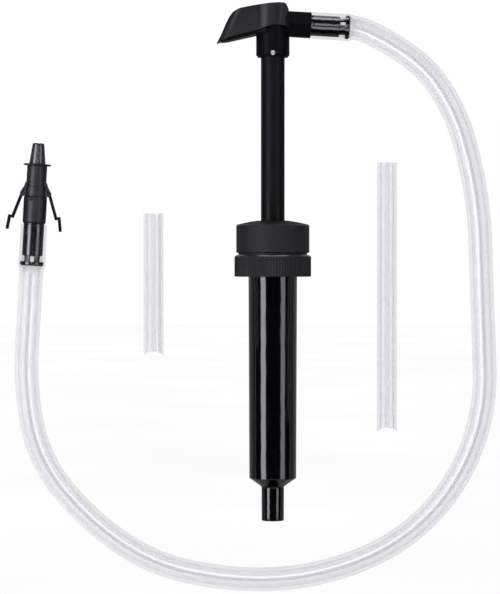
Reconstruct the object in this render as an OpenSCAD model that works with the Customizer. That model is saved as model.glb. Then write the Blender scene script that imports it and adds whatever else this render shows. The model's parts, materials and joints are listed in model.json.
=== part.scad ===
// Hand fluid transfer pump for a 38 mm bottle neck.
// A palm head on a hollow plunger rod drives a piston in a barrel that hangs inside the bottle.
// Oil leaves through the side spout, a long clear hose and a slim quick-fit adapter.
// Frame: Z up along the pump axis, X towards the spout, origin on the bottle-neck seat.

/* [Plunger] */
// Outside diameter of the hollow plunger rod
rod_d = 14.5; // [14:0.1:14.8]
// Diameter of the collar below the palm head
collar_d = 20.4; // [19.8:0.1:20.4]
// Wire thickness of the return spring
spring_wire = 1.2; // [0.8:0.1:1.4]

/* [Closure] */
// Outside diameter of the upper cap
cap_d = 44.8; // [43:0.2:46]
// Outside diameter of the knurled bottle ring
ring_d = 47; // [46:0.2:50]
// Number of knurl teeth round the bottle ring
ring_knurls = 84; // [48:4:96]
// Number of grip scallops along the lower edge of the cap
cap_scallops = 24; // [12:4:32]

/* [Barrel] */
// Outside diameter of the barrel below the flange
barrel_top_d = 29.8; // [29.2:0.1:29.8]
// Outside diameter of the barrel above its bottom cone
barrel_low_d = 28.7; // [27.8:0.1:28.8]
// Inside diameter of the socket that takes a dip tube
socket_d = 12.06; // [12.02:0.02:12.1]

/* [Hose and tubes] */
// Outside diameter of the clear hose
hose_d = 14.6; // [13.6:0.2:14.8]
// Inside diameter of the clear hose
hose_bore_d = 10.6; // [9.6:0.2:11]
// Outside diameter of the two dip tubes
tube_d = 12; // [11.8:0.05:12]
// Inside diameter of the two dip tubes
tube_bore_d = 9; // [8:0.25:9.5]
// Length of the short dip tube
short_tube_l = 85.5; // [60:0.5:100]
// Length of the long dip tube
long_tube_l = 162; // [120:1:180]
// How far in front of the pump the two spare tubes lie
tube_front = 22; // [22:1:60]

/* [Adapter] */
// Diameter of the slim nozzle at its mouth
tip_d = 7.2; // [6.4:0.2:8]
// Diameter of the rubber sealing disc
disc_d = 17; // [15:0.5:19]
// Lean of the two release arms away from the adapter body, in degrees
arm_lean = 18.5; // [16:0.5:22]

/* [Hidden] */
$fn = 96;
eps = 0.02;
far = 60;
run_gap = 0.05;

// Heights along the pump axis
seat_z = 0;
gasket_t = 1.19;
flange_z = 1.2;
flange_t = 1.6;
lip_z = 2.85;
ring_top_z = 4.3;
ring_low_z = -8.9;
cap_low_z = 4.4;
cap_rim_z = 5.6;
cap_edge_z = 22.4;
cap_top_z = 23;
neck_top_z = 15;
barrel_low_z = -132.2;
cone_low_z = -137.2;
nipple_low_z = -158.3;
collar_low_z = 125.2;
head_boss_z = 152.2;
spout_z = 146.05;
spout_droop = 3.2;
rod_top_z = 140;
screw_z = 127.3;

// Radii shared between neighbours
rod_r = rod_d / 2;
collar_r = collar_d / 2;
bore_r = 12.3;
neck_r = 17;
flange_r = 18.8;
piston_r = 12.15;
rod_end_r = 5;
rod_step_z = 8;
rod_low_z = -4.05;
valve_bore_r = 4;
floor_z = -128;
cage_base_t = 1.5;
spring_low_z = floor_z + cage_base_t;
spring_top_z = -4;
spring_turns = 15;
spring_r = 10;

// Spigot geometry used at both ends of the hose
core_r = 6.3;
cage_r = 4.9;
window_h = 3.4;
window_w = 3.2;
mouth_ring_h = 2.6;
mouth_ring_r = 7.2;
spout_windows = [30, 150, 270];
adapter_windows = [0, 90, 180, 270];
journal_r = 4.5;
journal_l = 13;
flange_h = 1.55;
spigot_bore_r = 2.8;
spout_face_x = 22;
spout_core_l = 17.5;
adapter_core_l = 19.4;
hose_r = hose_d / 2;
hose_bore_r = hose_bore_d / 2;
sleeve_r = hose_r + 0.8;
bulge_r = mouth_ring_r + 1.15;
hose_lead = 1.8;
skirt_r = core_r + 0.1;
skirt_h = flange_h - 0.2;
hose_trim = 0.1;
band_w = 0.8;

// Hose route: each row is the length of a stretch and how far it turns, in millimetres and degrees
spout_reach = spout_face_x + flange_h + spout_core_l + window_h + mouth_ring_h + hose_lead;
outward_bends = [[9, 21.5], [29, 10.3], [28, 21.3], [36, 17.6], [63.5, 14.1], [77.5, 0], [71, 33.1],
  [71, 34.5], [69.5, 24.4]];
return_bends = [[46, 12.8], [46, 22.6], [46, 15], [46, 29.1], [46, 13.8], [48.5, 0]];

function bend_r(b) = b[0] / (b[1] * PI / 180);
function bend_c(p, b) = [p[0] + bend_r(b) * sin(p[2]), p[1] - bend_r(b) * cos(p[2])];
function turned(p, b) = p[2] - b[1];
function after_turn(p, b) = [bend_c(p, b)[0] - bend_r(b) * sin(turned(p, b)),
  bend_c(p, b)[1] + bend_r(b) * cos(turned(p, b)), turned(p, b)];
function after_straight(p, b) = [p[0] + b[0] * cos(p[2]), p[1] + b[0] * sin(p[2]), p[2]];
function after(p, b) = b[1] == 0 ? after_straight(p, b) : after_turn(p, b);
function route_end(p, bends, i = 0) = i == len(bends) ? p : route_end(after(p, bends[i]), bends, i + 1);

loop_start = [spout_reach * cos(spout_droop), spout_z - spout_reach * sin(spout_droop), -spout_droop];
loop_low = route_end(loop_start, outward_bends);
loop_end = route_end(loop_low, return_bends);
adapter_lean = 90 - (loop_end[2] + 360);

// Flexing zone at the lowest point of the hose
knuckle_r = hose_r - 0.1;
knuckle_bore_r = hose_bore_r - 0.1;
knuckle_gap = 2;

// Adapter heights, measured along the adapter from the end of the hose bend
ad_face = hose_lead + mouth_ring_h + window_h + adapter_core_l;
ad_hub_low = ad_face + 0.2;
ad_hub_high = ad_face + 17;
ad_body_high = 63.2;
ad_disc_t = 1;
ad_tip_high = 76.9;
hub_r = 7.1;
ad_body_r = 6.1;
shank_r = 5;
pivot_x = 8.25;
pivot_s = 46.4;
pin_r = 0.6;
arm_half = 1.9;
lug_gap = 2;
lug_out = 3.3;

// Palm cover
cover_r = 13.2;
cover_t = 1.6;
nose_r = 7.6;
nose_lean = 25;
nose_x = -27;
nose_z = 134;

module head_cover() {
  color([0.05, 0.05, 0.055])
    difference() {
      cover_shape(0, [[-34.2, 133.6], [-31.3, 139.2], [-28.8, 145.3], [-26.7, 149.4], [-25.2, 151.6],
        [-23.9, 152.8], [-22, 153.9], [-20, 154.8], [-11.2, 156.4], [-1.5, 157.3], [4, 157.7],
        [6.9, 157.6], [8.2, 156.6], [9.2, 154.2], [10.9, 149.4], [12.6, 144], [13.3, 141.4],
        [11, 142.8], [7.6, 143.8], [3, 144.2], [-1, 143.9], [-4.5, 142.9], [-8.8, 141.4],
        [-16.6, 139.6], [-27, 136.9]]);
      cover_shape(cover_t, [[-34.6, 130], [-31.3, 135.2], [-27.1, 145], [-24.3, 149.9], [-20, 152.8],
        [-11, 154.4], [-1, 155.4], [6, 155.7], [7.7, 152.2], [13, 136], [12.4, 130]]);
      head_bosses(run_gap);
    }
}

module cover_shape(inset, side) {
  intersection() {
    rotate([90, 0, 0])
      linear_extrude(2 * far, center = true)
        polygon(side);
    union() {
      translate([0, 0, collar_low_z])
        cylinder(r = cover_r - inset, h = 40);
      translate([nose_x, 0, nose_z])
        rotate([0, nose_lean, 0])
          translate([0, 0, -20])
            nose_prism(inset);
    }
  }
}

module nose_prism(inset) {
  spread = 25;
  linear_extrude(60)
    union() {
      circle(r = nose_r - inset);
      polygon([[-1.2, nose_r - inset - 0.1], [spread, cover_r - inset - 0.6],
        [spread, -cover_r + inset + 0.6], [-1.2, -nose_r + inset + 0.1]]);
    }
}

module head_bosses(gap) {
  boss_r = 9.3;
  block_across = 15.1;
  block_x = 5;
  translate([0, 0, collar_low_z])
    cylinder(r = boss_r + gap, h = head_boss_z - collar_low_z + gap);
  along_spout(block_x)
    rotate(30)
      cylinder(r = (block_across / 2 + gap) / cos(30), h = spout_face_x + skirt_h - block_x, $fn = 6);
}

module head_body() {
  chamfer = 1.2;
  bore_gap = 0.02;
  top_z = 147.2;
  color([0.07, 0.07, 0.075])
    difference() {
      union() {
        head_bosses(0);
        rotate_extrude()
          polygon([[0, collar_low_z], [collar_r - chamfer, collar_low_z],
            [collar_r, collar_low_z + chamfer], [collar_r, top_z - 2], [collar_r - 1.2, top_z],
            [0, top_z]]);
        cover_shape(cover_t + bore_gap, [[-31.5, 134.2], [-30.1, 136.9], [-26.7, 139.7],
          [-16.7, 142.8], [-9, 145.2], [-4, 146.4], [-4, 140], [-8.8, 139.2], [-16.7, 137.4],
          [-27, 134.9]]);
      }
      translate([0, 0, collar_low_z - 1])
        cylinder(r = rod_r + bore_gap, h = rod_top_z - collar_low_z + 1 + bore_gap);
      translate([0, 0, rod_top_z - 1])
        cylinder(r = 4, h = spout_z - rod_top_z + 1);
      translate([0, 0, spout_z])
        sphere(r = 4.3);
      along_spout(0)
        cylinder(r = 4, h = spout_face_x - 6);
      along_spout(spout_face_x) {
        journal_socket();
        cylinder(r = skirt_r, h = flange_h + 1);
      }
      translate([0, 0, screw_z])
        rotate([90, 0, 0])
          cylinder(r = 1.42, h = collar_r + 1);
    }
}

module journal_socket() {
  rotate_extrude()
    polygon([[0, 1], [journal_r + run_gap, 1], [journal_r + run_gap, -7.95], [journal_r + 0.55, -7.95],
      [journal_r + 0.55, -9.55], [journal_r + run_gap, -9.55],
      [journal_r + run_gap, -journal_l + flange_h - 0.6], [0, -journal_l + flange_h - 0.6]]);
}

module head_screw() {
  screw_r = 1.4;
  slot_w = 0.5;
  color([0.75, 0.75, 0.77])
    translate([0, 0, screw_z])
      rotate([90, 0, 0])
        difference() {
          translate([0, 0, rod_r - 1.45])
            cylinder(r = screw_r, h = collar_r - rod_r + 1.6);
          translate([-slot_w / 2, -screw_r - 1, collar_r - 0.5])
            cube([slot_w, 2 * screw_r + 2, 2]);
        }
}

module rod() {
  wall = 2;
  neck_bore_r = 3;
  neck_z = 7.8;
  wide_z = 12;
  color([0.05, 0.05, 0.055])
    difference() {
      rotate_extrude()
        polygon([[valve_bore_r, rod_low_z], [rod_end_r, rod_low_z], [rod_end_r, rod_step_z],
          [rod_r, rod_step_z], [rod_r, rod_top_z - 0.6], [rod_r - 0.6, rod_top_z],
          [rod_r - wall, rod_top_z], [rod_r - wall, wide_z + 1], [neck_bore_r, wide_z],
          [neck_bore_r, neck_z], [valve_bore_r, neck_z]]);
      for (a = [0, 90])
        rotate(a)
          translate([-0.9, -valve_bore_r, neck_z - 1])
            cube([1.8, 2 * valve_bore_r, wide_z - neck_z + 1.5]);
      translate([0, -rod_r + 1.5, screw_z])
        rotate([90, 0, 0])
          cylinder(r = 1.42, h = 3);
    }
}

module rod_valve_seat() {
  plate_r = 8;
  plate_h = 3;
  seat_z0 = -1;
  color([0.62, 0.63, 0.64])
    rotate_extrude()
      polygon([[2.4, rod_low_z - plate_h], [plate_r, rod_low_z - plate_h], [plate_r, rod_low_z - eps],
        [valve_bore_r - eps, rod_low_z - eps], [valve_bore_r - eps, 0], [3.2, 0], [2.4, seat_z0]]);
}

module discharge_ball() {
  color([0.8, 0.8, 0.82])
    translate([0, 0, 1.63])
      sphere(r = 3.5);
}

module piston() {
  groove_r = 10.2;
  color([0.85, 0.85, 0.82])
    rotate_extrude()
      polygon([[rod_end_r + run_gap, rod_low_z + 0.08], [piston_r, rod_low_z + 0.08], [piston_r, 1],
        [groove_r, 1], [groove_r, 4], [piston_r, 4], [piston_r, rod_step_z - 0.06],
        [rod_end_r + run_gap, rod_step_z - 0.06]]);
}

module piston_seal() {
  color([0.1, 0.1, 0.1])
    rotate_extrude()
      polygon([[10.22, 1.02], [11.6, 1.02], [12.27, 1.3], [12.27, 1.9], [11.7, 2.5], [12.27, 3.1],
        [12.27, 3.7], [11.6, 3.98], [10.22, 3.98]]);
}

// Coils are half-turn tubes, each tilted so the next starts where it ends.
// A short weld covers each meeting.
module return_spring() {
  weld = 0.04;
  wire_r = spring_wire / 2;
  low = spring_low_z + wire_r + weld;
  high = spring_top_z - wire_r - weld;
  halves = 2 * spring_turns;
  rise = (high - low) / (halves - 2);
  color([0.7, 0.7, 0.72]) {
    spring_half(low, 0, 0, wire_r);
    for (i = [0 : halves - 3])
      spring_half(low + i * rise, rise, i + 1, wire_r);
    spring_half(high, 0, halves - 1, wire_r);
    for (i = [0 : halves - 2])
      rotate([0, 0, (i + 1) * 180])
        translate([spring_r, 0, low + i * rise])
          rotate([90, 0, 0])
            cylinder(r = wire_r + weld / 2, h = 0.5, center = true, $fn = 24);
  }
}

module spring_half(z, rise, turn, wire_r) {
  tilt = atan(rise / (2 * spring_r));
  trim = 0.6;
  translate([0, 0, z + rise / 2])
    rotate([0, 0, turn * 180])
      rotate([0, tilt, 0])
        rotate(trim)
          rotate_extrude(angle = 180 - 2 * trim)
            translate([spring_r / cos(tilt), 0])
              circle(r = wire_r, $fn = 24);
}

module gland_cap() {
  cap_r = cap_d / 2;
  hole_r = rod_r + 0.3;
  guide_z = 16.5;
  wiper_z = 19.1;
  rim_w = 1.3;
  color([0.12, 0.12, 0.125])
    difference() {
      rotate_extrude()
        polygon([[neck_r + eps, cap_low_z], [cap_r - rim_w, cap_low_z], [cap_r - rim_w, cap_rim_z],
          [cap_r - 0.5, cap_rim_z], [cap_r, cap_rim_z + 0.5], [cap_r, cap_edge_z],
          [cap_r - 0.7, cap_top_z], [16.5, cap_top_z + 1.2], [12.9, cap_top_z + 1.9],
          [9.2, cap_top_z + 2.4], [hole_r, cap_top_z + 2.2], [hole_r, wiper_z], [9.6, wiper_z],
          [9.6, guide_z], [neck_r + eps, guide_z]]);
      for (i = [0 : cap_scallops - 1])
        rotate(i * 360 / cap_scallops - 90)
          translate([cap_r - rim_w + 0.2, 0, cap_rim_z - 1.2])
            rotate([0, 90, 0])
              cylinder(r = 1.5, h = 4, $fn = 24);
    }
}

module rod_guide() {
  color([0.8, 0.8, 0.78])
    rotate_extrude()
      polygon([[rod_r + 0.06, 11], [bore_r - 0.04, 11], [bore_r - 0.04, neck_top_z + eps],
        [neck_r - 0.1, neck_top_z + eps], [neck_r - 0.1, 16.48], [rod_r + 0.06, 16.48]]);
}

module rod_wiper() {
  color([0.1, 0.1, 0.1])
    rotate_extrude()
      polygon([[rod_r + 0.03, 17.6], [rod_r + 0.8, 16.5], [9.58, 16.5], [9.58, 19.08],
        [rod_r + 0.8, 19.08], [rod_r + 0.03, 18.2]]);
}

module bottle_ring() {
  ring_r = ring_d / 2;
  tooth = 0.35;
  half_step = 180 / ring_knurls;
  thread_r = 19.2;
  color([0.12, 0.12, 0.125])
    intersection() {
      translate([0, 0, ring_low_z])
        linear_extrude(ring_top_z - ring_low_z)
          polygon([for (i = [0 : 2 * ring_knurls - 1])
            (ring_r - (i % 2) * tooth) * [cos(i * half_step), sin(i * half_step)]]);
      rotate_extrude()
        polygon([[neck_r + 0.3, ring_top_z], [ring_r - 1.1, ring_top_z],
          [ring_r + 0.1, ring_top_z - 1.2], [ring_r + 0.1, ring_low_z + 0.6], [ring_r - 0.5, ring_low_z],
          [thread_r, ring_low_z], [thread_r, lip_z], [neck_r + 0.3, lip_z]]);
    }
}

module bottle_gasket() {
  color([0.3, 0.3, 0.3])
    rotate_extrude()
      polygon([[barrel_top_d / 2 + 0.05, seat_z], [flange_r, seat_z], [flange_r, gasket_t],
        [barrel_top_d / 2 + 0.05, gasket_t]]);
}

module barrel() {
  pocket_r = 5.6;
  hole_r = 3.4;
  pocket_z = -132;
  seat_low_z = -134.5;
  socket_z = nipple_low_z + 18;
  nipple_r = 6.92;
  color([0.05, 0.05, 0.055])
    rotate_extrude()
      polygon([[bore_r, neck_top_z], [neck_r, neck_top_z], [neck_r, flange_z + flange_t],
        [flange_r, flange_z + flange_t], [flange_r, flange_z], [barrel_top_d / 2, flange_z],
        [barrel_top_d / 2, -8], [barrel_low_d / 2, barrel_low_z], [nipple_r + 0.4, cone_low_z],
        [nipple_r, cone_low_z - 0.6], [nipple_r - 0.1, nipple_low_z], [socket_d / 2, nipple_low_z],
        [socket_d / 2, socket_z], [hole_r, socket_z], [hole_r, seat_low_z], [pocket_r, pocket_z],
        [pocket_r, floor_z], [bore_r, floor_z]]);
}

module inlet_ball() {
  color([0.8, 0.8, 0.82])
    translate([0, 0, -131.36])
      sphere(r = 4.6);
}

module inlet_cage() {
  cage_in_r = 5.7;
  cage_out_r = 7.2;
  top_z = -122;
  top_t = 1.7;
  port_w = 3;
  color([0.85, 0.85, 0.82])
    difference() {
      rotate_extrude()
        polygon([[cage_in_r, floor_z + eps], [bore_r - 0.05, floor_z + eps],
          [bore_r - 0.05, spring_low_z], [cage_out_r, spring_low_z], [cage_out_r, top_z], [0, top_z],
          [0, top_z - top_t], [cage_in_r, top_z - top_t]]);
      for (a = [0, 90])
        rotate(a)
          translate([-port_w / 2, -cage_out_r - 1, spring_low_z + 0.6])
            cube([port_w, 2 * cage_out_r + 2, top_z - top_t - spring_low_z - 0.6]);
      for (a = [0 : 90 : 270])
        rotate(a + 45)
          translate([3.4, 0, top_z - top_t - 1])
            cylinder(r = 1.1, h = top_t + 2, $fn = 32);
    }
}

// Spigot along Z: journal below zero, pushed into a socket; core, windows and mouth ring above zero
module spigot(core_l, windows) {
  mouth_bore_r = 4;
  cage_l = core_l + window_h;
  ridge_r = journal_r + 0.5;
  groove_r = 3.55;
  difference() {
    rotate_extrude()
      polygon([[spigot_bore_r, -journal_l], [journal_r - 0.5, -journal_l], [journal_r, -journal_l + 0.5],
        [journal_r, -11], [ridge_r, -10.7], [ridge_r, -9.6], [journal_r, -9.6], [journal_r, -6.4],
        [groove_r, -6.4], [groove_r, -4.6], [journal_r, -4.6], [journal_r, -flange_h + run_gap],
        [core_r, -flange_h + run_gap], [core_r, core_l - 0.5],
        [cage_r, core_l], [cage_r, cage_l], [mouth_ring_r - 0.4, cage_l], [mouth_ring_r, cage_l + 0.5],
        [mouth_ring_r, cage_l + mouth_ring_h - 0.9], [mouth_ring_r - 0.9, cage_l + mouth_ring_h],
        [mouth_bore_r, cage_l + mouth_ring_h], [mouth_bore_r, core_l - 1],
        [spigot_bore_r, core_l - 2.2]]);
    for (a = windows)
      rotate(a)
        translate([-window_w / 2, 0, core_l + 0.2])
          cube([window_w, core_r + 2, window_h]);
  }
}

module spigot_o_ring() {
  translate([0, 0, -5.5])
    rotate_extrude()
      translate([4.04, 0])
        circle(r = 0.48, $fn = 32);
}

// Hose end along Z, from its mouth over the spigot core and mouth ring to the plain hose
module hose_end(core_l) {
  cage_l = core_l + window_h;
  ring_l = cage_l + mouth_ring_h;
  rotate_extrude()
    polygon([[core_r + eps, 0], [sleeve_r - 0.3, 0], [sleeve_r, 0.3], [sleeve_r, core_l],
      [bulge_r, cage_l], [bulge_r, ring_l - 0.6], [hose_r, ring_l + hose_lead],
      [hose_bore_r, ring_l + hose_lead], [mouth_ring_r + eps, ring_l + 0.2],
      [mouth_ring_r + eps, cage_l - 0.1], [core_r + eps, cage_l - 1]]);
}

// The spout axis leaves the head level with the rod's top and droops a little
module along_spout(reach) {
  translate([0, 0, spout_z])
    rotate([0, 90 + spout_droop, 0])
      translate([0, 0, reach])
        children();
}

module on_spout() {
  along_spout(spout_face_x + flange_h)
    children();
}

module on_adapter() {
  translate([loop_end[0], 0, loop_end[1]])
    rotate([0, adapter_lean, 0])
      children();
}

// Stretches of hose stop just short of each other and a thin moulded band joins them
module hose_run(bends, p, i = 0) {
  if (i < len(bends)) {
    hose_stretch(p, bends[i]);
    hose_run(bends, after(p, bends[i]), i + 1);
  }
}

module hose_bands(bends, p, i = 0) {
  if (i < len(bends)) {
    hose_band(p);
    hose_bands(bends, after(p, bends[i]), i + 1);
  }
}

module hose_stretch(p, b) {
  stop = hose_trim / b[0];
  if (b[1] == 0)
    translate([p[0], 0, p[1]])
      rotate([0, 90 - p[2], 0])
        translate([0, 0, hose_trim])
          linear_extrude(b[0] - 2 * hose_trim)
            hose_section(0);
  else
    translate([bend_c(p, b)[0], 0, bend_c(p, b)[1]])
      rotate([90, 0, 0])
        rotate(p[2] + 90 - b[1] * (1 - stop))
          rotate_extrude(angle = b[1] * (1 - 2 * stop))
            translate([bend_r(b), 0])
              hose_section(0);
}

module hose_band(p) {
  translate([p[0], 0, p[1]])
    rotate([0, 90 - p[2], 0])
      translate([0, 0, -band_w / 2])
        linear_extrude(band_w)
          hose_section(0.03);
}

module hose_section(swell) {
  difference() {
    circle(r = hose_r + swell);
    circle(r = hose_bore_r - swell);
  }
}

module at_knuckle() {
  translate([loop_low[0], 0, loop_low[1]])
    children();
}

module hose_upper() {
  color([0.9, 0.9, 0.92, 0.5])
    union() {
      on_spout()
        hose_end(spout_core_l);
      hose_run(outward_bends, loop_start);
      hose_bands(outward_bends, loop_start);
      at_knuckle()
        rotate([0, -90, 0])
          knuckle_dome();
    }
}

module knuckle_dome() {
  root = 1.5;
  reach = 5.8;
  mouth_r = 4;
  difference() {
    sphere(r = knuckle_r);
    sphere(r = knuckle_bore_r);
    translate([0, 0, -far - root])
      cylinder(r = far, h = far);
    translate([0, 0, reach])
      cylinder(r = far, h = far);
    cylinder(r = mouth_r, h = far, center = true);
  }
}

module hose_lower() {
  color([0.9, 0.9, 0.92, 0.5])
    difference() {
      union() {
        hose_run(return_bends, loop_low);
        hose_bands(return_bends, loop_low);
        hose_band(loop_end);
        on_adapter()
          translate([0, 0, ad_face])
            mirror([0, 0, 1])
              hose_end(adapter_core_l);
      }
      at_knuckle()
        sphere(r = knuckle_r + run_gap);
      at_knuckle()
        translate([-knuckle_gap, -far / 2, -far / 2])
          cube(far);
    }
}

module spout_spigot() {
  color([0.05, 0.05, 0.055])
    on_spout()
      spigot(spout_core_l, spout_windows);
}

module spout_o_ring() {
  color([0.1, 0.1, 0.1])
    on_spout()
      spigot_o_ring();
}

module adapter_spigot() {
  color([0.05, 0.05, 0.055])
    on_adapter()
      translate([0, 0, ad_face])
        mirror([0, 0, 1])
          spigot(adapter_core_l, adapter_windows);
}

module adapter_o_ring() {
  color([0.1, 0.1, 0.1])
    on_adapter()
      translate([0, 0, ad_face])
        mirror([0, 0, 1])
          spigot_o_ring();
}

module adapter_hub() {
  color([0.07, 0.07, 0.075])
    on_adapter()
      difference() {
        rotate_extrude()
          polygon([[0, ad_hub_low], [hub_r - 0.8, ad_hub_low], [hub_r, ad_hub_low + 1.2],
            [hub_r, ad_hub_high - 0.5], [hub_r - 0.5, ad_hub_high], [0, ad_hub_high]]);
        translate([0, 0, ad_hub_low - 1])
          cylinder(r = skirt_r, h = skirt_h + 1);
        translate([0, 0, ad_face + flange_h])
          mirror([0, 0, 1])
            journal_socket();
        translate([0, 0, ad_hub_high - 4])
          cylinder(r = shank_r + eps, h = 5);
        for (a = [0, 180])
          rotate(a)
            translate([-5, -hub_r - 1, ad_hub_high - 2.6])
              cube([4.4, 2.2, 1.8]);
      }
}

module adapter_body() {
  color([0.14, 0.14, 0.145])
    on_adapter()
      rotate_extrude()
        polygon([[3, ad_hub_high - 4 + eps], [shank_r, ad_hub_high - 4 + eps],
          [shank_r, ad_hub_high + eps], [ad_body_r, ad_hub_high + eps], [ad_body_r, ad_body_high],
          [4.02, ad_body_high], [4.02, ad_body_high - 6], [3, ad_body_high - 6]]);
}

module arm_collar() {
  collar_out_r = 6.9;
  low = ad_hub_high + 0.1;
  color([0.07, 0.07, 0.075])
    on_adapter()
      difference() {
        union() {
          translate([0, 0, low])
            cylinder(r = collar_out_r, h = 6);
          for (side = [0, 180])
            rotate(side)
              for (y = [lug_gap, -lug_out])
                translate([0, y + lug_out - lug_gap, 0])
                  rotate([90, 0, 0])
                    linear_extrude(lug_out - lug_gap)
                      polygon([[4, low], [8.8, low], [9.4, low + 0.8], [9.4, pivot_s],
                        [8.3, 48.4], [7.1, 50.4], [6.3, 53], [4, 53]]);
        }
        translate([0, 0, low - 1])
          cylinder(r = ad_body_r + eps, h = 12);
        pin_holes(pin_r + eps);
      }
}

module pin_holes(r) {
  for (side = [-1, 1])
    translate([side * pivot_x, 0, pivot_s])
      rotate([90, 0, 0])
        cylinder(r = r, h = 2 * lug_out + 0.6, center = true, $fn = 48);
}

module arm_pins() {
  color([0.7, 0.7, 0.72])
    on_adapter()
      pin_holes(pin_r);
}

// Arm on the +X side: eye on the pin, leaning strip, outward step and foot
module arm() {
  strip_t = 1.7;
  strip_l = 16.2;
  step_l = 3.6;
  foot_l = 9;
  eye_r = 1.2;
  end_x = strip_l * sin(arm_lean);
  end_y = -strip_l * cos(arm_lean);
  translate([pivot_x, 0, pivot_s])
    rotate([90, 0, 0])
      linear_extrude(2 * arm_half, center = true)
        difference() {
          union() {
            circle(r = eye_r, $fn = 48);
            rotate(arm_lean)
              translate([-strip_t / 2, -strip_l])
                square([strip_t, strip_l]);
            translate([end_x - 0.8, end_y - 0.6])
              rotate(8)
                polygon([[0, 0], [step_l - strip_t, 0], [step_l - strip_t, strip_t - foot_l],
                  [step_l, strip_t - foot_l], [step_l, strip_t], [0, strip_t]]);
          }
          circle(r = pin_r + run_gap, $fn = 48);
        }
}

module right_arm() {
  color([0.05, 0.05, 0.055])
    on_adapter()
      arm();
}

module left_arm() {
  color([0.05, 0.05, 0.055])
    on_adapter()
      rotate(180)
        arm();
}

module disc_seal() {
  color([0.12, 0.12, 0.12])
    on_adapter()
      rotate_extrude()
        polygon([[4.05, ad_body_high + eps], [disc_d / 2 - 0.3, ad_body_high + eps],
          [disc_d / 2, ad_body_high + ad_disc_t / 2], [disc_d / 2 - 0.3, ad_body_high + ad_disc_t],
          [4.05, ad_body_high + ad_disc_t]]);
}

module adapter_tip() {
  shoulder = ad_body_high + ad_disc_t + eps;
  tip_bore_r = 2;
  root_r = 5;
  color([0.06, 0.06, 0.065])
    on_adapter()
      rotate_extrude()
        polygon([[tip_bore_r, ad_body_high - 5.9], [4, ad_body_high - 5.9], [4, shoulder],
          [root_r, shoulder], [tip_d / 2, ad_tip_high - 0.5], [tip_d / 2 - 0.5, ad_tip_high],
          [tip_bore_r, ad_tip_high]]);
}

// Tube standing on Z with its top at zero and a shallow saddle cut across its foot
module dip_tube(tube_l) {
  saddle_h = 2.1;
  saddle_r = (pow(tube_d / 2, 2) + pow(saddle_h, 2)) / (2 * saddle_h);
  difference() {
    translate([0, 0, -tube_l])
      linear_extrude(tube_l)
        difference() {
          circle(r = tube_d / 2);
          circle(r = tube_bore_d / 2);
        }
    translate([0, 0, saddle_h - saddle_r - tube_l])
      rotate([90, 0, 0])
        cylinder(r = saddle_r, h = far, center = true);
  }
}

module short_dip_tube() {
  color([0.9, 0.9, 0.92, 0.5])
    translate([-72.2, -tube_front, 29.4])
      dip_tube(short_tube_l);
}

module long_dip_tube() {
  color([0.9, 0.9, 0.92, 0.5])
    translate([68.7, -tube_front, 60])
      dip_tube(long_tube_l);
}

head_cover();
head_body();
head_screw();
rod();
rod_valve_seat();
discharge_ball();
piston();
piston_seal();
return_spring();
gland_cap();
rod_guide();
rod_wiper();
bottle_ring();
bottle_gasket();
barrel();
inlet_ball();
inlet_cage();
spout_spigot();
spout_o_ring();
hose_upper();
hose_lower();
adapter_spigot();
adapter_o_ring();
adapter_hub();
adapter_body();
arm_collar();
arm_pins();
left_arm();
right_arm();
disc_seal();
adapter_tip();
short_dip_tube();
long_dip_tube();
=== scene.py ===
import json
import math

import bmesh
import bpy
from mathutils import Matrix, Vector


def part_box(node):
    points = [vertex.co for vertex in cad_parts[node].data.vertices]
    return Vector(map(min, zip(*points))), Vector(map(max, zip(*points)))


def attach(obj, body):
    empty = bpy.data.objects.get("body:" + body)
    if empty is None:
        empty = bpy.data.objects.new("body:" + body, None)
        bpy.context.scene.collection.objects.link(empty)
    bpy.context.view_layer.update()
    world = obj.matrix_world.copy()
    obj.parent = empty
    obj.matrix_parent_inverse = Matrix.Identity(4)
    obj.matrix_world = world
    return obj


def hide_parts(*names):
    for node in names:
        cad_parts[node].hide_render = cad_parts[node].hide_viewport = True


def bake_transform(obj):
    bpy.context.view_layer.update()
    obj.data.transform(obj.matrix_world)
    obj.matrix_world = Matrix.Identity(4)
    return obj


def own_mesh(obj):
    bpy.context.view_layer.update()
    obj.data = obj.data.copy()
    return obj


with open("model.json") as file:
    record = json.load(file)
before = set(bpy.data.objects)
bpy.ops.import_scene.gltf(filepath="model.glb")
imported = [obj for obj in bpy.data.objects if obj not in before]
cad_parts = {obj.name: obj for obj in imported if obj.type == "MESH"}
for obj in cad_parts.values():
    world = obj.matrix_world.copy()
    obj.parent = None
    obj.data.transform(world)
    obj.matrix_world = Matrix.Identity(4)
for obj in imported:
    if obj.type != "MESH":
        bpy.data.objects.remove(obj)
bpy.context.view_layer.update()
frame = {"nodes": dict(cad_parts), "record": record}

# A hand pump for oil and other fluids, with its clear hose, quick-fit adapter and two spare dip tubes.
# Lengths are written in millimetres and multiplied by MM where Blender needs metres.
MM = 0.001
scene = bpy.context.scene
nodes = frame["nodes"]
WHITE = (1.0, 1.0, 1.0, 1.0)


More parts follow.
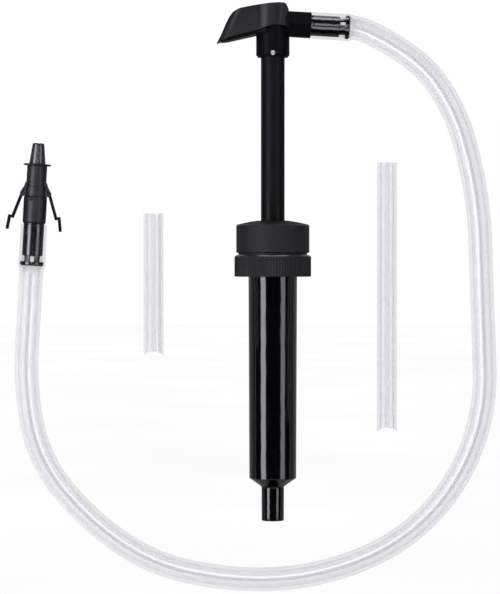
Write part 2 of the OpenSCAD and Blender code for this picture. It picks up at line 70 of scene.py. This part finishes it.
# ---------------------------------------------------------------- node trees
class Shader:
    """The node tree of a material or world, built step by step. coord is its texture coordinate."""

    def __init__(self, owner, output="OutputMaterial", coord="Object"):
        owner.use_nodes = True
        self.owner = owner
        self.tree = owner.node_tree
        self.tree.nodes.clear()
        self.out = self.add(output)
        self.coord = self.add("TexCoord").outputs[coord]

    def add(self, kind, values=None, **props):
        node = self.tree.nodes.new("ShaderNode" + kind)
        for key, value in props.items():
            setattr(node, key, value)
        for key, value in (values or {}).items():
            if isinstance(value, bpy.types.NodeSocket):
                self.tree.links.new(value, node.inputs[key])
            else:
                node.inputs[key].default_value = value
        return node

    def math(self, op, a, b=0.0, clamp=False):
        return self.add("Math", {0: a, 1: b}, operation=op, use_clamp=clamp).outputs[0]

    def split(self, vector):
        """The X, Y and Z of a vector, as three sockets."""
        return self.add("SeparateXYZ", {0: vector}).outputs

    def noise(self, scale, detail=3.0, stretch=None, rough=0.5):
        where = self.coord
        if stretch:
            where = self.add("Mapping", {"Vector": where, "Scale": stretch}).outputs[0]
        values = {"Vector": where, "Scale": scale, "Detail": detail, "Roughness": rough}
        return self.add("TexNoise", values).outputs["Fac"]

    def span(self, value, low, high, from_low=0.3, from_high=0.7):
        """Low where value is from_low, high where it is from_high, and in between otherwise."""
        values = {"Value": value, "From Min": from_low, "From Max": from_high,
                  "To Min": low, "To Max": high}
        return self.add("MapRange", values).outputs[0]

    def either(self, choice, off, on):
        return self.add("Mix", {0: choice, 2: off, 3: on}).outputs[0]

    def colour(self, mix, a, b):
        a, b = ((*c, 1.0) if isinstance(c, tuple) else c for c in (a, b))
        return self.add("Mix", {0: mix, 6: a, 7: b}, data_type="RGBA").outputs[2]

    def bump(self, height, strength, distance, below=None):
        values = {"Height": height, "Strength": strength, "Distance": distance}
        if below is not None:
            values["Normal"] = below
        return self.add("Bump", values).outputs[0]

    def mix_shader(self, mix, a, b):
        return self.add("MixShader", {0: mix, 1: a, 2: b}).outputs[0]

    def finish(self, surface):
        self.tree.links.new(surface, self.out.inputs["Surface"])
        return self.owner


def new_shader(name):
    return Shader(bpy.data.materials.new(name))


def scaled(colour, factor, lift=0.0):
    return tuple(lift + factor * c for c in colour)


# ---------------------------------------------------------------- moulded plastic
HATCH_ACROSS, HATCH_UP = 5200.0, 4200.0
HATCH_STARTS_X, HATCH_FULL_X = -22 * MM, -27 * MM


def upright_ribs(s, place, count):
    """A wave that runs count times round the pump's axis."""
    angle = s.math("ARCTAN2", place[1], place[0])
    return s.math("SINE", s.math("MULTIPLY", angle, float(count)))


def nose_hatch(s, place):
    """Slanting lines on the cover's nose that fade out towards the collar."""
    across = s.math("MULTIPLY", place[0], HATCH_ACROSS)
    slant = s.math("ADD", across, s.math("MULTIPLY", place[2], HATCH_UP))
    only_nose = s.span(place[0], 0.0, 1.0, HATCH_STARTS_X, HATCH_FULL_X)
    return s.math("MULTIPLY", s.math("SINE", slant), only_nose)


def rounded_edges(s):
    """1 on rounded upper and lower edges, 0 on level and upright faces."""
    normal = s.add("NewGeometry").outputs["Normal"]
    slope = s.math("ABSOLUTE", s.split(normal)[2])
    return s.math("MULTIPLY", s.span(slope, 0.0, 1.0, 0.35, 0.55), s.span(slope, 1.0, 0.0, 0.85, 0.95))


def plastic(name, colour, rough, grain=0.25, grain_depth=0.004, gleam=0.5, ribs=0, rib_depth=0.0,
            hatch=0.0, scuffs=0.1, worn_edges=False):
    """Moulded plastic: fine grain, uneven sheen, faint scuffs along the part, and optional ribs."""
    s = new_shader(name)
    fine = s.noise(1.0 / (grain * MM), 4.0)
    broad = s.noise(45.0, 2.0)
    marks = s.noise(260.0, 5.0, stretch=(3.0, 3.0, 0.22), rough=0.65)
    scuff = s.span(marks, 0.0, scuffs, 0.60, 0.74)
    normal = s.bump(fine, 0.6, grain_depth * MM)
    normal = s.bump(s.noise(130.0, 2.0), 0.5, 0.02 * MM, normal)
    place = s.split(s.coord)
    if ribs:
        normal = s.bump(upright_ribs(s, place, ribs), 1.0, rib_depth * MM, normal)
    if hatch:
        normal = s.bump(nose_hatch(s, place), 1.0, hatch * MM, normal)
    tint = s.colour(s.span(broad, 0.0, 1.0), scaled(colour, 0.75), scaled(colour, 1.35))
    tint = s.colour(scuff, tint, scaled(colour, 0.6, lift=0.02))
    sheen = s.span(broad, rough * 0.85, rough * 1.2)
    roughness = s.math("ADD", sheen, s.math("MULTIPLY", scuff, 0.35), clamp=True)
    if worn_edges:
        edge = rounded_edges(s)
        roughness = s.span(edge, roughness, 0.14, 0.0, 1.0)
        gleam = s.span(edge, gleam, 1.0, 0.0, 1.0)
    body = s.add("BsdfPrincipled", {"Base Color": tint, "Roughness": roughness, "Normal": normal,
                                    "Specular IOR Level": gleam})
    return s.finish(body.outputs[0])


# ---------------------------------------------------------------- rubber and steel
def rubber(name, colour, rough=0.75):
    """Soft rubber with a dusty bloom."""
    s = new_shader(name)
    bloom = s.span(s.noise(320.0, 5.0, rough=0.7), 0.0, 0.35, 0.45, 0.75)
    tint = s.colour(bloom, colour, scaled(colour, 1.0, lift=0.04))
    normal = s.bump(s.noise(5000.0, 3.0), 0.5, 0.006 * MM)
    body = s.add("BsdfPrincipled", {"Base Color": tint, "Roughness": s.span(bloom, rough, 0.95, 0.0, 0.35),
                                    "Normal": normal, "Specular IOR Level": 0.35})
    return s.finish(body.outputs[0])


def steel(name, colour, rough):
    """Turned or drawn steel with fine tool lines and slight tarnish."""
    s = new_shader(name)
    lines = s.noise(900.0, 3.0, stretch=(1.0, 1.0, 9.0))
    stain = s.span(s.noise(160.0, 4.0), 0.0, 0.5, 0.45, 0.8)
    tint = s.colour(stain, colour, scaled(colour, 0.7))
    body = s.add("BsdfPrincipled", {"Base Color": tint, "Metallic": 1.0,
                                    "Normal": s.bump(lines, 0.35, 0.004 * MM),
                                    "Roughness": s.span(lines, rough * 0.7, rough * 1.4)})
    return s.finish(body.outputs[0])


# ---------------------------------------------------------------- clear hose and tubes
# Places round the hose, as parts of a turn from its outer side towards the front
# A darker line and a painted highlight line run along the hose at these places
DARK_LINE, DARK_HALF = 0.256, 0.030
HOSE_HIGHLIGHT_LINE, HOSE_HIGHLIGHT_HALF = 0.300, 0.022
DRAW_LINES = 43.0
# Painted upright highlight streaks, a little to the right of the short and the long tube's middle
TUBE_HIGHLIGHTS_X, TUBE_HIGHLIGHT_HALF = (-69.9 * MM, 71.0 * MM), 1.1 * MM
MOST_SHEEN = 0.05


def line_mask(s, place, centre, half_width):
    """1 on a line at centre, fading to 0 at half_width on either side."""
    away = s.math("ABSOLUTE", s.math("SUBTRACT", place, centre))
    return s.math("SUBTRACT", 1.0, s.math("DIVIDE", away, half_width), clamp=True)


def clear(name, milk_tint, milk, rough, passes=0.98, dark_and_highlight_lines=False, highlight_streaks_x=()):
    """Cloudy clear plastic: light passes straight on, with a milky cloudiness, a sheen and draw lines.

    dark_and_highlight_lines draws a darker line and a painted highlight line along the hose;
    highlight_streaks_x are painted upright highlight streaks on the tubes.
    """
    s = new_shader(name)
    across = s.add("Attribute", attribute_name="across").outputs["Fac"]
    wet = s.add("Attribute", attribute_name="wet").outputs["Fac"]
    dry = s.math("SUBTRACT", 1.0, wet)
    normal = s.bump(s.math("SINE", s.math("MULTIPLY", across, DRAW_LINES)), 0.15, 0.006 * MM)
    normal = s.bump(s.noise(300.0, 2.0), 0.10, 0.004 * MM, normal)
    haze_and_highlight = s.math("MULTIPLY", s.span(s.noise(70.0, 3.0), milk * 0.93, milk * 1.07), dry)
    clean = (passes, passes, passes + 0.003)
    see_through_tint_and_shade, haze_and_highlight_tint = clean, (*milk_tint, 1.0)
    # A darker line along the hose, and beside it a painted highlight: a white line added to the milky
    # cloudiness
    if dark_and_highlight_lines:
        dark = s.math("MULTIPLY", line_mask(s, across, DARK_LINE, DARK_HALF), dry)
        light = s.math("MULTIPLY", line_mask(s, across, HOSE_HIGHLIGHT_LINE, HOSE_HIGHLIGHT_HALF), dry)
        see_through_tint_and_shade = s.colour(dark, clean, scaled(clean, 0.78))
        haze_and_highlight_tint = s.colour(light, milk_tint, (1.0, 1.0, 1.0))
        haze_and_highlight = s.math("ADD", haze_and_highlight, s.math("MULTIPLY", light, 0.65), clamp=True)
    # Painted highlight streaks on the tubes: paler, denser cloudiness along upright lines fixed in the
    # tube's own coordinates
    if highlight_streaks_x:
        light = 0.0
        for x in highlight_streaks_x:
            light = s.math("MAXIMUM", light, line_mask(s, s.split(s.coord)[0], x, TUBE_HIGHLIGHT_HALF))
        haze_and_highlight_tint = s.colour(light, milk_tint, (0.9, 0.9, 0.91))
        haze_and_highlight = s.math("ADD", haze_and_highlight, s.math("MULTIPLY", light, 0.16), clamp=True)
    # Painted shade: where the hose covers a spigot its see-through colour is darkened, in place of the
    # black core that refraction would spread across the wall
    see_through_tint_and_shade = s.colour(wet, see_through_tint_and_shade, scaled(clean, 0.90))
    pass_on = s.add("BsdfTransparent", {"Color": see_through_tint_and_shade})
    through = s.add("BsdfTranslucent", {"Color": haze_and_highlight_tint, "Normal": normal})
    face = s.add("BsdfDiffuse", {"Color": haze_and_highlight_tint, "Normal": normal})
    cloudy = s.mix_shader(0.6, through.outputs[0], face.outputs[0])
    body = s.mix_shader(haze_and_highlight, pass_on.outputs[0], cloudy)
    sheen = s.add("BsdfGlossy", {"Color": WHITE, "Roughness": rough, "Normal": normal})
    edge = s.add("Fresnel", {"IOR": 1.3, "Normal": normal}).outputs[0]
    shine = s.math("MINIMUM", s.math("MULTIPLY", edge, 0.8), MOST_SHEEN)
    return s.finish(s.mix_shader(shine, body, sheen.outputs[0]))


# ---------------------------------------------------------------- one finish for each material slot
FINISH = {
    "gloss_black": plastic("gloss_black", (0.0012, 0.0012, 0.0016), 0.11, grain=0.9, grain_depth=0.002,
                           scuffs=0.03),
    "satin_black": plastic("satin_black", (0.0022, 0.0022, 0.0029), 0.30, grain=0.35, grain_depth=0.003,
                           gleam=0.14, scuffs=0.05),
    "cover_black": plastic("cover_black", (0.004, 0.0039, 0.0054), 0.40, grain=0.35, grain_depth=0.004,
                           hatch=0.03, gleam=0.26, scuffs=0.05),
    "rod_black": plastic("rod_black", (0.003, 0.003, 0.0039), 0.42, grain=0.4, grain_depth=0.003,
                         gleam=0.08, scuffs=0.03),
    "adapter_black": plastic("adapter_black", (0.005, 0.0049, 0.0064), 0.46, grain=0.25, grain_depth=0.010,
                             gleam=0.42, scuffs=0.05),
    "spigot_black": plastic("spigot_black", (0.0016, 0.0016, 0.0021), 0.24, grain=1.2, grain_depth=0.001,
                            gleam=1.0, scuffs=0.04),
    "tip_black": plastic("tip_black", (0.006, 0.006, 0.0066), 0.34, grain=0.9, grain_depth=0.001,
                         gleam=1.0, scuffs=0.05),
    "matte_black": plastic("matte_black", (0.0017, 0.0017, 0.0022), 0.42, grain=0.22, grain_depth=0.012,
                           gleam=0.05, scuffs=0.05),
    "charcoal": plastic("charcoal", (0.0066, 0.0065, 0.0086), 0.55, grain=0.24, grain_depth=0.018,
                        ribs=180, rib_depth=0.03, gleam=0.22, scuffs=0.05, worn_edges=True),
    "natural_plastic": plastic("natural_plastic", (0.72, 0.72, 0.68), 0.35, grain=0.4),
    "black_rubber": rubber("black_rubber", (0.006, 0.006, 0.006)),
    "grey_rubber": rubber("grey_rubber", (0.14, 0.14, 0.14)),
    "steel": steel("steel", (0.62, 0.63, 0.65), 0.28),
    "dark_steel": steel("dark_steel", (0.03, 0.03, 0.032), 0.4),
    "polished_steel": steel("polished_steel", (0.75, 0.75, 0.77), 0.1),
    "clear_hose": clear("clear_hose", (0.765, 0.762, 0.777), 0.265, 0.16, dark_and_highlight_lines=True),
    "clear_tube": clear("clear_tube", (0.695, 0.692, 0.704), 0.24, 0.2, passes=0.982,
                        highlight_streaks_x=TUBE_HIGHLIGHTS_X),
}
SLOT = {part["node"]: part["material_slot"] for part in frame["record"]["subparts"]}
# Nodes whose surface is shinier than the rest of their material slot
SHINIER = {"spout_spigot": "spigot_black", "adapter_spigot": "spigot_black", "adapter_tip": "tip_black"}


def dress(obj, slot, finish=None):
    obj.data.materials.clear()
    obj.data.materials.append(FINISH[finish or slot])


def smooth_faces(mesh):
    mesh.polygons.foreach_set("use_smooth", [True] * len(mesh.polygons))


# ---------------------------------------------------------------- carried-over CAD nodes
NO_BEVEL = ("return_spring", "hose_upper", "hose_lower")


def round_edges(obj):
    """A small rounding on every sharp edge, as moulded and turned pieces have."""
    bevel = obj.modifiers.new("edges", "BEVEL")
    bevel.width = 0.22 * MM
    bevel.segments = 2
    bevel.limit_method = "ANGLE"
    bevel.angle_limit = math.radians(28)


for name, obj in nodes.items():
    dress(obj, SLOT[name], SHINIER.get(name))
    smooth_faces(obj.data)
    weld = obj.modifiers.new("weld", "WELD")
    weld.merge_threshold = 0.002 * MM
    if name not in NO_BEVEL:
        round_edges(obj)
    obj.modifiers.new("normals", "WEIGHTED_NORMAL")


# ---------------------------------------------------------------- mesh helpers
def piece(name, bm, slot):
    mesh = bpy.data.meshes.new(name)
    bm.normal_update()
    bm.to_mesh(mesh)
    bm.free()
    smooth_faces(mesh)
    obj = bpy.data.objects.new(name, mesh)
    scene.collection.objects.link(obj)
    dress(obj, slot)
    return obj


def loft(rings, closed=True, cap=False, wetness=None):
    """Joins equal rings of points into a skin. closed joins the last ring to the first."""
    bm = bmesh.new()
    across = bm.verts.layers.float.new("across")
    wet = bm.verts.layers.float.new("wet")
    made = []
    for n, ring in enumerate(rings):
        verts = []
        for i, point in enumerate(ring):
            v = bm.verts.new(point)
            v[across] = i / len(ring)
            v[wet] = wetness[n] if wetness else 0.0
            verts.append(v)
        made.append(verts)
    pairs = list(zip(made, made[1:]))
    if closed:
        pairs.append((made[-1], made[0]))
    for a, b in pairs:
        for i in range(len(a)):
            j = (i + 1) % len(a)
            bm.faces.new((a[i], b[i], b[j], a[j]))
    if cap:
        bm.faces.new(made[0])
        bm.faces.new(list(reversed(made[-1])))
    bmesh.ops.recalc_face_normals(bm, faces=bm.faces)
    return bm


# ---------------------------------------------------------------- the hose, one seamless piece
SPOUT_Z, DROOP = 146.05, math.radians(3.2)
SPOUT_FACE = 22 + 1.55
HOSE_R, BORE_R = 7.3, 5.3
LIP_R = 7.75
SLEEVE_R, SLEEVE_BORE_R = 8.1, 6.32
BULGE_R, BULGE_BORE_R = 8.35, 7.22
# Each stretch of the hose's route is its length and how many degrees it turns
OUTWARD = [(9, 21.5), (29, 10.3), (28, 21.3), (36, 17.6), (63.5, 14.1), (77.5, 0), (71, 33.1), (71, 34.5),
           (69.5, 24.4)]
BACK = [(46, 12.8), (46, 22.6), (46, 15), (46, 29.1), (46, 13.8), (48.5, 0)]
# At each end the hose covers a spigot's core, its windows and its mouth ring, then narrows
SPOUT_CORE, ADAPTER_CORE = 17.5, 19.4
WINDOW, RING, FADE = 3.4, 2.6, 1.8
LEAD = SPOUT_CORE + WINDOW + RING + FADE
TAIL = ADAPTER_CORE + WINDOW + RING + FADE
SHORT_STRETCH = 40
WET_FADE = 5.0


def hose_path():
    """Points along the hose's middle: (x, z, heading in radians, distance from the spout's end)."""
    points = []
    x, z, heading, run = SPOUT_FACE * math.cos(DROOP), SPOUT_Z - SPOUT_FACE * math.sin(DROOP), -DROOP, 0.0
    for length, turn in [(LEAD, 0)] + OUTWARD + BACK + [(TAIL, 0)]:
        step = 0.8 if turn == 0 and length < SHORT_STRETCH else 2.2
        steps = max(4, round(length / step))
        d = length / steps
        half_turn = math.radians(turn) / steps / 2
        for _ in range(steps):
            points.append((x, z, heading, run))
            heading -= half_turn
            x += d * math.cos(heading)
            z += d * math.sin(heading)
            heading -= half_turn
            run += d
    points.append((x, z, heading, run))
    return points


def even_out(points, times):
    """Evens out the change of heading where two stretches of the path meet."""
    heads = [p[2] for p in points]
    for _ in range(times):
        middle = [(a + 2 * b + c) / 4 for a, b, c in zip(heads, heads[1:], heads[2:])]
        heads = [heads[0], *middle, heads[-1]]
    return [(x, z, heading, run) for (x, z, _, run), heading in zip(points, heads)]


def end_radii(d, core):
    """Outer and inner radius at a distance d from a hose mouth over a spigot of that core length."""
    cage = core + WINDOW
    ring = cage + RING
    stops = [
        (0.0, LIP_R, SLEEVE_BORE_R),
        (0.4, SLEEVE_R, SLEEVE_BORE_R),
        (core, SLEEVE_R, SLEEVE_BORE_R),
        (cage - 0.9, BULGE_R - 0.1, SLEEVE_BORE_R + 0.02),
        (cage, BULGE_R, BULGE_BORE_R),
        (ring - 0.4, BULGE_R, BULGE_BORE_R),
        (ring + FADE, HOSE_R + 0.15, BORE_R + 0.1),
        (ring + 4, HOSE_R, BORE_R),
    ]
    for a, b in zip(stops, stops[1:]):
        if d <= b[0]:
            t = (d - a[0]) / (b[0] - a[0])
            t = t * t * (3 - 2 * t)
            return a[1] + t * (b[1] - a[1]), a[2] + t * (b[2] - a[2])
    return HOSE_R, BORE_R


def how_wet(past_end):
    """1 where the hose covers a spigot, falling to 0 a little way past it."""
    near = past_end / WET_FADE
    if near >= 1:
        return 0.0
    return 1.0 - 0.9 * max(near, 0.0) ** 0.6


def make_hose(sides=48):
    path = even_out(hose_path(), 3)
    total = path[-1][3]
    outer, inner, wet = [], [], []
    for x, z, heading, run in path:
        here = [max(pair) for pair in zip(end_radii(run, SPOUT_CORE), end_radii(total - run, ADAPTER_CORE))]
        side = Vector((-math.sin(heading), 0, math.cos(heading)))
        front = Vector((0, -1, 0))
        for rings, radius in zip((outer, inner), here):
            turns = (2 * math.pi * i / sides for i in range(sides))
            rings.append([(Vector((x, 0, z)) + radius * (math.cos(a) * side + math.sin(a) * front)) * MM
                          for a in turns])
        wet.append(how_wet(min(run - LEAD, total - run - TAIL)))
    return piece("hose", loft(outer + inner[::-1], wetness=wet + wet[::-1]), "clear_hose")


hose = make_hose()
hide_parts("hose_upper", "hose_lower")
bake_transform(hose)


# ---------------------------------------------------------------- return spring, a true helix
COILS, COIL_R, WIRE_R = 15, 10.0, 0.6


def helix(name, slot, radius, z_low, z_high, turns, wire, dead=0.75, steps=40, sides=10):
    """A coil spring whose first and last dead turns lie flat."""
    rings = []
    for k in range(int(turns * steps) + 1):
        t = k / steps
        rise = min(max((t - dead) / (turns - 2 * dead), 0.0), 1.0)
        z = z_low + wire + (z_high - z_low - 2 * wire) * rise
        a = 2 * math.pi * t
        out = Vector((math.cos(a), math.sin(a), 0))
        up = Vector((0, 0, 1))
        centre = out * radius + up * z
        rings.append([(centre + wire * (math.cos(b) * out + math.sin(b) * up)) * MM
                      for b in (2 * math.pi * i / sides for i in range(sides))])
    return piece(name, loft(rings, closed=False, cap=True), slot)


spring_low, spring_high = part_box("return_spring")
spring = helix("return_spring_coil", "steel", COIL_R, spring_low.z / MM, spring_high.z / MM, COILS, WIRE_R)
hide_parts("return_spring")
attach(spring, "pump_base")
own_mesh(spring)


# ---------------------------------------------------------------- thread inside the bottle ring
def thread(name, slot, body, radius, depth, z_low, pitch, turns, steps=72):
    """An inside thread that rises and runs out over ten steps at each end."""
    rings = []
    total = int(turns * steps)
    for k in range(total + 1):
        a = 2 * math.pi * k / steps
        d = max(0.03, depth * min(1.0, k / 10.0, (total - k) / 10.0))
        z = z_low + pitch * k / steps
        profile = [(radius + 0.1, -1.0), (radius - d * 0.75, -0.45), (radius - d, 0.0),
                   (radius - d * 0.75, 0.45), (radius + 0.1, 1.0)]
        rings.append([Vector((r * math.cos(a), r * math.sin(a), z + dz)) * MM for r, dz in profile])
    obj = piece(name, loft(rings, closed=False, cap=True), slot)
    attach(obj, body)


thread("bottle_ring_thread", "charcoal", "bottle_ring", radius=19.2, depth=0.9, z_low=-7.8, pitch=4.2,
       turns=1.7)


# ---------------------------------------------------------------- lights
def light(name, azimuth, distance, height, width, tall, radiance, z_aim=0.0):
    """A soft rectangle; azimuth 0 stands at the camera, positive to the right."""
    a = math.radians(azimuth)
    data = bpy.data.lights.new(name, "AREA")
    data.shape = "RECTANGLE"
    data.size, data.size_y = width, tall
    data.energy = radiance * math.pi * width * tall
    data.color = (0.985, 0.975, 1.09)
    obj = bpy.data.objects.new(name, data)
    obj.location = (distance * math.sin(a), -distance * math.cos(a), height)
    obj.rotation_euler = (Vector((0, 0, z_aim)) - obj.location).to_track_quat("-Z", "Y").to_euler()
    scene.collection.objects.link(obj)


light("left_box", -47, 1.3, 0.0, 0.56, 1.7, 6.9)
light("right_box", 49, 1.3, 0.0, 0.50, 1.7, 3.4)
light("front_box", 0, 1.6, 0.42, 0.30, 0.44, 6.0, z_aim=0.1)
light("top_box", 0, 0.1, 1.3, 0.45, 0.6, 5.0)


# ---------------------------------------------------------------- surroundings
STRIP_GLOW = 4.0


def make_world():
    """The camera sees an even white. Surfaces see a bright wall behind the pump and a dim room in front."""
    s = Shader(bpy.data.worlds.new("studio"), "OutputWorld", "Generated")
    ray = s.add("LightPath")
    back = s.split(s.coord)[1]
    diffuse_level = s.span(back, 0.1, 1.0, -0.35, 0.15)
    glossy_level = s.span(back, 0.0, 0.33, -0.1, 0.6)
    level = s.either(ray.outputs["Is Glossy Ray"], diffuse_level, glossy_level)
    level = s.either(ray.outputs["Is Camera Ray"], level, 1.0)
    return s.finish(s.add("Background", {"Color": WHITE, "Strength": level}).outputs[0])


def pale_floor():
    """Nearly white to the camera. Glossy surfaces see it dim, with a lit strip low in front of the pump."""
    s = new_shader("pale_floor")
    ray = s.add("LightPath")
    towards = s.split(s.add("NewGeometry").outputs["Incoming"])
    far_glow = s.span(towards[1], 0.33, 0.0, -0.6, 0.1)
    strip = s.span(towards[2], 0.0, STRIP_GLOW, 0.26, 0.34)
    strip = s.math("MINIMUM", strip, s.span(towards[2], STRIP_GLOW, 0.0, 0.52, 0.64))
    strip = s.math("MINIMUM", strip, s.span(towards[1], 0.0, STRIP_GLOW, 0.6, 0.75))
    reflected = s.add("Emission", {"Color": WHITE, "Strength": s.math("MAXIMUM", far_glow, strip)})
    shade = s.add("BsdfDiffuse", {"Color": (0.9, 0.9, 0.9, 1.0)})
    seen = s.add("Emission", {"Color": WHITE, "Strength": s.span(s.noise(2.0, 2.0), 0.965, 1.0)})
    mix = s.mix_shader(ray.outputs["Is Glossy Ray"], shade.outputs[0], reflected.outputs[0])
    return s.finish(s.mix_shader(ray.outputs["Is Camera Ray"], mix, seen.outputs[0]))


def make_floor(half=12.0, z=-0.34):
    bm = bmesh.new()
    for x, y in ((-half, -half), (half, -half), (half, half), (-half, half)):
        bm.verts.new((x, y, z))
    bm.faces.new(bm.verts)
    mesh = bpy.data.meshes.new("floor")
    bm.to_mesh(mesh)
    bm.free()
    mesh.materials.append(pale_floor())
    floor = bpy.data.objects.new("floor", mesh)
    scene.collection.objects.link(floor)


scene.world = make_world()
make_floor()


# ---------------------------------------------------------------- camera
LENS, SENSOR = 150, 36
PICTURE_WIDTH = 0.3638
CAMERA_TILT = math.radians(0.8)
AIM = Vector((-13.95, 0, -21.35)) * MM

camera = bpy.data.cameras.new("camera")
camera.lens = LENS
camera.sensor_width = SENSOR
camera.clip_start, camera.clip_end = 0.01, 100
cam = bpy.data.objects.new("camera", camera)
scene.collection.objects.link(cam)
scene.camera = cam
reach = PICTURE_WIDTH * LENS / SENSOR
cam.location = AIM + reach * Vector((0, -math.cos(CAMERA_TILT), math.sin(CAMERA_TILT)))
cam.rotation_euler = (AIM - cam.location).to_track_quat("-Z", "Y").to_euler()

scene.view_settings.view_transform = "Standard"
scene.view_settings.look = "None"
scene.cycles.use_denoising = True
scene.cycles.max_bounces = 14
scene.cycles.transmission_bounces = 10
scene.cycles.transparent_max_bounces = 12
scene.cycles.caustics_reflective = False
scene.cycles.sample_clamp_direct = 3.0
scene.cycles.sample_clamp_indirect = 3.0
